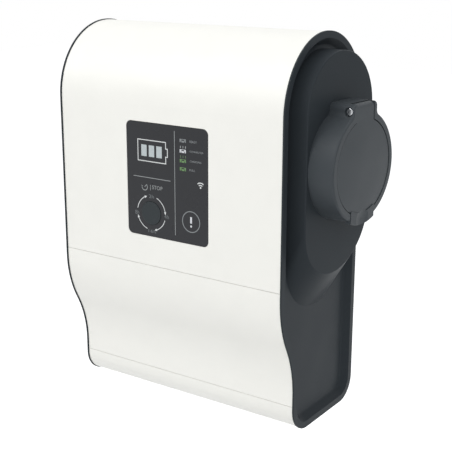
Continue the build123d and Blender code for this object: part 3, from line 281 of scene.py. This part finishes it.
FINISHES = {
    white_shell: ("upper_cover", "lower_cover", "bottom_cover"),
    side_plastic: ("left_side_cover", "right_side_cover"),
    socket_plastic: ("socket_collar", "socket_lid", "gland_body", "gland_cap", "gland_lock_nut"),
    panel_dark: ("panel_lens",),
    button_dark: ("timer_button", "socket_insert", "clamp_ring", "contact_base", "contact_carrier",
                  "contact_cap", "blanking_plug", "plug_lock_nut", "board_plug"),
    relay_black: ("relays", "switch_plunger", "button_switch"),
    frame_grey: ("frame", "panel_carrier", "lock_housing", "terminal_block", "ribbon_cable"),
    rubber: ("left_gasket", "right_gasket", "lid_seal", "gland_seal", "socket_loom"),
    steel: ("left_cover_screws", "right_cover_screws", "bottom_screws", "carrier_screws",
            "socket_screws", "lid_spring", "lock_pin", "earth_screws"),
    bright_steel: ("hinge_pin",),
    rail_steel: ("mounting_rail",),
    silver: ("contact_sleeves",),
    brass: ("earth_bar",),
    light_bar: ("battery_light_guides",),
    module_grey: ("contactor", "residual_current_breaker", "energy_meter"),
    winding: ("transformer",),
    can: ("capacitors",),
    board_green: ("control_board", "power_board"),
}
for material, names in FINISHES.items():
    for name in names:
        mesh = nodes[name].data
        mesh.materials.clear()
        mesh.materials.append(material)

# Places on the control panel are in millimetres from the housing's lower left corner
PANEL_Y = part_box("panel_lens")[0].y
PRINT_LIFT = 0.04 * MM
ORIGIN_X = 130.5
ORIGIN_Z = 190.0
OFF_LAMPS_FROM = 275
WHITE_LAMPS_FROM = 266
FAULT_AT = (160.2, 203.0)
FAULT_MARK_R = 8


def by_place(name, pick):
    """Gives each face of a node the material that its place on the panel asks for."""
    mesh = nodes[name].data
    mesh.materials.clear()
    used = []
    for face in mesh.polygons:
        material = pick(face.center.x / MM + ORIGIN_X, face.center.z / MM + ORIGIN_Z)
        if material not in used:
            used.append(material)
            mesh.materials.append(material)
        face.material_index = used.index(material)


def lamp_colour(x, z):
    """The status lights from top to bottom: off, white, green, green."""
    if z > OFF_LAMPS_FROM:
        return light_grey
    return light_white if z > WHITE_LAMPS_FROM else light_green


def fault_colour(x, z):
    """The fault light's ring is darker than the mark inside it."""
    return light_grey if math.dist((x, z), FAULT_AT) > FAULT_MARK_R else light_white


by_place("status_light_guides", lamp_colour)
by_place("fault_light_guides", fault_colour)


# Print on the control panel
SHARPEST_MITRE = 0.3


class Print:
    """Flat print on the panel's front, gathered into one piece."""

    def __init__(self, name, material):
        self.name = name
        self.material = material
        self.mesh = bmesh.new()

    def point(self, x, z):
        return self.mesh.verts.new(((x - ORIGIN_X) * MM, PANEL_Y - PRINT_LIFT, (z - ORIGIN_Z) * MM))

    def fill(self, points):
        """Polygon, given anticlockwise as seen from the front."""
        self.mesh.faces.new([self.point(x, z) for x, z in points])

    def round(self, x, z, radius, turns):
        """Points at angles on a circle."""
        return [(x + radius * math.cos(a), z + radius * math.sin(a)) for a in turns]

    def disc(self, x, z, radius, steps=32):
        turns = [2 * math.pi * i / steps for i in range(steps)]
        self.fill(self.round(x, z, radius, turns))

    def line(self, points, width, closed=False):
        """Line of even width through points, with mitred corners."""
        spots = [Vector(p) for p in points]
        count = len(spots)
        left, right = [], []
        for i, spot in enumerate(spots):
            before = spots[i - 1] if i or closed else None
            after = spots[(i + 1) % count] if i < count - 1 or closed else None
            come = (spot - before).normalized() if before is not None else None
            leave = (after - spot).normalized() if after is not None else None
            come = come if come is not None else leave
            leave = leave if leave is not None else come
            middle = (come + leave).normalized()
            normal = Vector((-middle.y, middle.x))
            reach = width / 2 / max(normal.dot(Vector((-come.y, come.x))), SHARPEST_MITRE)
            left.append(self.point(*(spot + normal * reach)))
            right.append(self.point(*(spot - normal * reach)))
        last = count if closed else count - 1
        for i in range(last):
            j = (i + 1) % count
            self.mesh.faces.new([right[i], right[j], left[j], left[i]])

    def arc(self, x, z, radius, start, end, width, steps=24):
        """Arc from one angle to another, in degrees."""
        turns = [math.radians(start + (end - start) * i / steps) for i in range(steps + 1)]
        self.line(self.round(x, z, radius, turns), width)

    def text(self, words, x0, z0, x1, z1):
        """Words that fill a box."""
        curve = bpy.data.curves.new(words, "FONT")
        curve.body = words
        curve.resolution_u = 3
        item = bpy.data.objects.new(words, curve)
        bpy.context.scene.collection.objects.link(item)
        bpy.context.view_layer.update()
        flat = bpy.data.meshes.new_from_object(item)
        bpy.data.objects.remove(item)
        bpy.data.curves.remove(curve)
        wide = [v.co.x for v in flat.vertices]
        high = [v.co.y for v in flat.vertices]
        for v in flat.vertices:
            x = x0 + (x1 - x0) * (v.co.x - min(wide)) / (max(wide) - min(wide))
            z = z0 + (z1 - z0) * (v.co.y - min(high)) / (max(high) - min(high))
            v.co = ((x - ORIGIN_X) * MM, PANEL_Y - PRINT_LIFT, (z - ORIGIN_Z) * MM)
        self.mesh.from_mesh(flat)
        bpy.data.meshes.remove(flat)

    def finish(self):
        """Turns the print into a piece on the panel."""
        data = bpy.data.meshes.new(self.name)
        self.mesh.to_mesh(data)
        self.mesh.free()
        data.materials.append(self.material)
        piece = bpy.data.objects.new(self.name, data)
        bpy.context.scene.collection.objects.link(piece)
        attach(piece, "base")


DIAL = (112.9, 204.5)
DIAL_R = 17.0
ARC_WIDTH = 0.75
HEAD_LONG = 3.0
HEAD_WIDE = 2.6


def arrow(layer, start, end):
    """Clockwise arc round the button with a head at its end."""
    layer.arc(*DIAL, DIAL_R, start, end, ARC_WIDTH)
    turn = math.radians(end)
    tip_turn = turn - HEAD_LONG / DIAL_R
    outward = Vector((math.cos(turn), math.sin(turn)))
    middle = Vector(DIAL) + outward * DIAL_R
    tip = Vector(DIAL) + Vector((math.cos(tip_turn), math.sin(tip_turn))) * DIAL_R
    layer.fill([middle - outward * HEAD_WIDE / 2, tip, middle + outward * HEAD_WIDE / 2])


white = Print("panel_print_white", print_white)
battery = ((97.8, 255.0), (131.2, 255.0), (131.2, 261.5), (133.2, 261.5), (133.2, 269.2),
           (131.2, 269.2), (131.2, 275.4), (97.8, 275.4))
white.line(battery, 0.9, closed=True)
for span in ((170, 117), (67, 11), (-17, -68), (-108, -158)):
    arrow(white, *span)
white.disc(171.4, 237.4, 0.9)
for radius in (2.9, 5.0):
    white.arc(171.4, 236.9, radius, 132, 48, 1.0)
white.finish()

RAYS_X = (148.6, 151.5, 154.4)
RAY_WIDTH = 0.8

grey = Print("panel_print_grey", print_grey)
grey.line([(141.6, 187.0), (141.6, 287.4)], 0.6)
grey.line([(91.6, 239.1), (136.5, 239.1)], 0.6)
grey.text("STOP", 114.3, 228.4, 126.8, 232.2)
grey.line([(112.2, 226.9), (112.2, 232.3)], 0.5)
grey.arc(105.2, 229.6, 3.3, 50, -200, 0.7)
grey.line([(105.2, 229.6), (107.2, 231.6)], 0.6)
grey.fill([(101.0, 231.0), (103.4, 230.2), (101.7, 229.0)])
for x in RAYS_X:
    grey.line([(x, 272.2), (x, 274.4)], RAY_WIDTH)
grey.finish()

glow = Print("panel_print_glow", print_glow)
for x in RAYS_X:
    glow.line([(x, 263.0), (x, 265.4)], RAY_WIDTH)
glow.finish()

# A small car on each status light: its cabin and two wheels
CABIN = ((149.2, 0.1), (153.4, 0.1), (152.6, 1.1), (150.0, 1.1))
WHEELS_X = (149.3, 153.3)
WHEELS_BELOW = 1.0
WHEEL_R = 0.55

icons = Print("panel_print_dark", panel_dark)
for middle in (279.2, 269.5, 260.3, 252.4):
    icons.fill([(x, middle + rise) for x, rise in CABIN])
    for x in WHEELS_X:
        icons.disc(x, middle - WHEELS_BELOW, WHEEL_R, steps=12)
icons.finish()

labels = Print("panel_labels", print_label)
labels.text("READY", 159.1, 278.3, 167.4, 280.4)
labels.text("CONNECTED", 159.0, 269.4, 174.6, 271.0)
labels.text("CHARGING", 159.3, 260.1, 172.3, 261.8)
labels.text("FULL", 158.7, 251.6, 165.2, 253.6)
labels.finish()

dim = Print("panel_print_dim", print_dim)
dim.text("2h", 110.2, 219.3, 116.3, 222.8)
dim.text("4h", 128.7, 201.6, 134.0, 205.6)
dim.text("8h", 92.8, 200.9, 97.7, 205.1)
dim.text("16h", 108.9, 184.8, 118.1, 187.9)
dim.finish()
